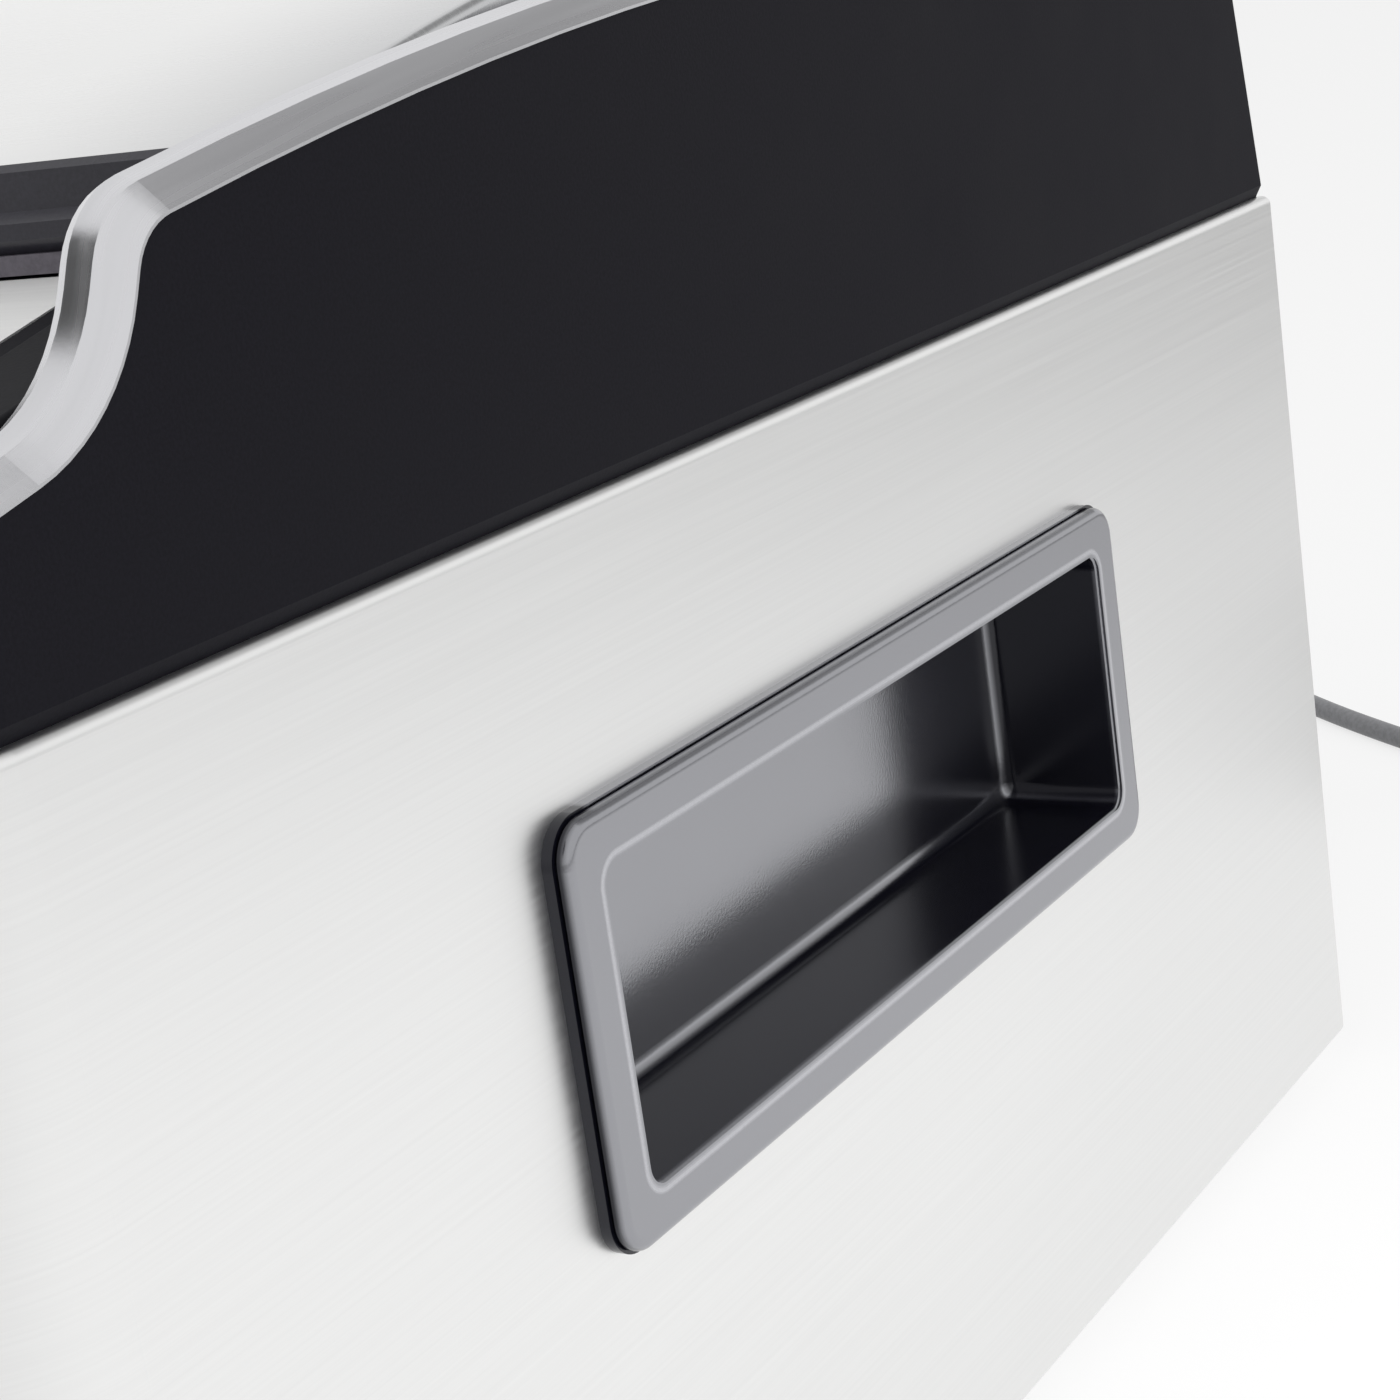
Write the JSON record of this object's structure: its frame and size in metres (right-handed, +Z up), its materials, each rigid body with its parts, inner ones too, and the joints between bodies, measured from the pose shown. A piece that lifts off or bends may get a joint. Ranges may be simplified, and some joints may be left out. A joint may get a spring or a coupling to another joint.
{
  "type": "vacuum sealer",
  "caption": "Countertop vacuum sealer: brushed steel box with recessed side grips, sloping control deck, domed hinged lid between black cheeks, roll bay and cutter.",
  "frame": {"origin": "middle of the footprint on the standing surface, cord left out", "axes": "+X to the machine's right, +Y from the control deck to the rear, +Z up"},
  "size_m": [0.5545, 0.5416, 0.2025],
  "materials": {
    "brushed_steel": "brushed stainless sheet, lines along the depth",
    "deck_steel": "brushed stainless inlay",
    "lid_steel": "brushed stainless sheet, lines across the width",
    "dark_pan": "moulded, fine grain",
    "foot_rubber": "soft matt rubber",
    "screws": "zinc-plated steel",
    "rear_panel": "fine black powder coat",
    "grip_plastic": "black moulded, light grain",
    "cheek_plastic": "black moulded, fine grain",
    "bright_trim": "satin silver",
    "frame_plastic": "black moulded, fine grain",
    "panel_plastic": "dark gloss fascia",
    "display_glass": "smoked window",
    "circuit_board": "green board",
    "key_plastic": "black moulded, satin",
    "latch_plastic": "dark engineering plastic",
    "pins": "ground steel",
    "seal_bar": "heat-proof moulding",
    "heating_strip": "nickel-chrome ribbon",
    "seal_tape": "coated glass cloth",
    "trough_plastic": "smooth moulded",
    "gasket": "closed-cell foam",
    "roll_box": "moulded tub",
    "cutter_rail": "moulded rail",
    "cutter_knob": "grey thumb knob",
    "lid_plastic": "moulded lining",
    "rail_plastic": "dark satin rail",
    "edge_seal": "soft grey lip",
    "counter_pad": "silicone strip",
    "pump_metal": "cast and plated",
    "transformer_core": "varnished laminations",
    "hose_rubber": "silicone hose",
    "switch_plastic": "black rocker",
    "cord_rubber": "smooth grey-black sheath",
    "plug_plastic": "moulded plug",
    "button_caps": "satin grey caps"
  },
  "bodies": {
    "base": {"steel_shell": "brushed_steel", "base_pan": "dark_pan", "feet": "foot_rubber", "foot_screws": "screws", "rear_panel": "rear_panel", "rear_screws": "screws", "side_grip_right": "grip_plastic", "side_grip_left": "grip_plastic", "side_cheek_right": "cheek_plastic", "side_cheek_left": "cheek_plastic", "cheek_trim_right": "bright_trim", "cheek_trim_left": "bright_trim", "cheek_screws": "screws", "frame_screws": "screws", "top_frame": "frame_plastic", "deck_panel": "deck_steel", "control_panel": "panel_plastic", "display_window": "display_glass", "control_board": "circuit_board", "latch_pins": "pins", "seal_bar": "seal_bar", "heating_strip": "heating_strip", "seal_tape": "seal_tape", "vacuum_trough": "trough_plastic", "lower_gasket": "gasket", "roll_box": "roll_box", "cutter_rail": "cutter_rail", "hinge_pins": "pins", "pump_right": "pump_metal", "pump_left": "pump_metal", "pump_mounts": "foot_rubber", "transformer": "transformer_core", "main_board": "circuit_board", "release_valve": "pump_metal", "air_hoses": "hose_rubber", "switch_housing": "switch_plastic", "cord_gland": "cord_rubber", "power_cord": "cord_rubber", "cord_coil": "cord_rubber", "plug": "plug_plastic"},
    "lid": {"lid_skin": "lid_steel", "lid_frame": "lid_plastic", "lid_front_rail": "rail_plastic", "lid_edge_seal": "edge_seal", "upper_gasket": "gasket", "counter_pad": "counter_pad", "lid_catches": "latch_plastic"},
    "release_key_right": {"release_key_right": "key_plastic"},
    "release_key_left": {"release_key_left": "key_plastic"},
    "latch_lever_right": {"latch_lever_right": "latch_plastic"},
    "latch_lever_left": {"latch_lever_left": "latch_plastic"},
    "cutter": {"cutter_slider": "cutter_knob"},
    "rocker": {"switch_rocker": "switch_plastic"},
    "button_1": {"button_1": "button_caps"},
    "button_2": {"button_2": "button_caps"},
    "button_3": {"button_3": "button_caps"},
    "button_4": {"button_4": "button_caps"},
    "button_5": {"button_5": "button_caps"},
    "button_6": {"button_6": "button_caps"}
  },
  "joints": [
    {"name": "lid_hinge", "type": "hinge", "parent": "base", "child": "lid", "pos_m": [0, 0.124, 0.176], "axis": [-1, 0, 0], "range_deg": [0, 80]},
    {"name": "key_press_right", "type": "slide", "parent": "base", "child": "release_key_right", "axis": [0, 0, -1], "range_m": [0, 0.005], "stiffness_N_per_m": 600, "springref_m": -0.002},
    {"name": "latch_turn_right", "type": "hinge", "parent": "base", "child": "latch_lever_right", "pos_m": [0.226, -0.079, 0.148], "axis": [1, 0, 0], "range_deg": [0, 12.5]},
    {"name": "key_press_left", "type": "slide", "parent": "base", "child": "release_key_left", "axis": [0, 0, -1], "range_m": [0, 0.005], "stiffness_N_per_m": 600, "springref_m": -0.002},
    {"name": "latch_turn_left", "type": "hinge", "parent": "base", "child": "latch_lever_left", "pos_m": [-0.226, -0.079, 0.148], "axis": [1, 0, 0], "range_deg": [0, 12.5]},
    {"name": "button_press_1", "type": "slide", "parent": "base", "child": "button_1", "axis": [0, 0.225, -0.9744], "range_m": [0, 0.001], "stiffness_N_per_m": 800, "springref_m": -0.0005},
    {"name": "button_press_2", "type": "slide", "parent": "base", "child": "button_2", "axis": [0, 0.225, -0.9744], "range_m": [0, 0.001], "stiffness_N_per_m": 800, "springref_m": -0.0005},
    {"name": "button_press_3", "type": "slide", "parent": "base", "child": "button_3", "axis": [0, 0.225, -0.9744], "range_m": [0, 0.001], "stiffness_N_per_m": 800, "springref_m": -0.0005},
    {"name": "button_press_4", "type": "slide", "parent": "base", "child": "button_4", "axis": [0, 0.225, -0.9744], "range_m": [0, 0.001], "stiffness_N_per_m": 800, "springref_m": -0.0005},
    {"name": "button_press_5", "type": "slide", "parent": "base", "child": "button_5", "axis": [0, 0.225, -0.9744], "range_m": [0, 0.001], "stiffness_N_per_m": 800, "springref_m": -0.0005},
    {"name": "button_press_6", "type": "slide", "parent": "base", "child": "button_6", "axis": [0, 0.225, -0.9744], "range_m": [0, 0.001], "stiffness_N_per_m": 800, "springref_m": -0.0005},
    {"name": "cutter_slide", "type": "slide", "parent": "base", "child": "cutter", "axis": [1, 0, 0], "range_m": [0, 0.372]},
    {"name": "rocker_tip", "type": "hinge", "parent": "base", "child": "rocker", "pos_m": [0.176, 0.14025, 0.058], "axis": [0, 0, 1], "range_deg": [0, 14]}
  ],
  "couplings": [
    {"joint": "latch_turn_right", "follows": "key_press_right", "rad_per_m": 43.284},
    {"joint": "latch_turn_left", "follows": "key_press_left", "rad_per_m": 43.284}
  ]
}
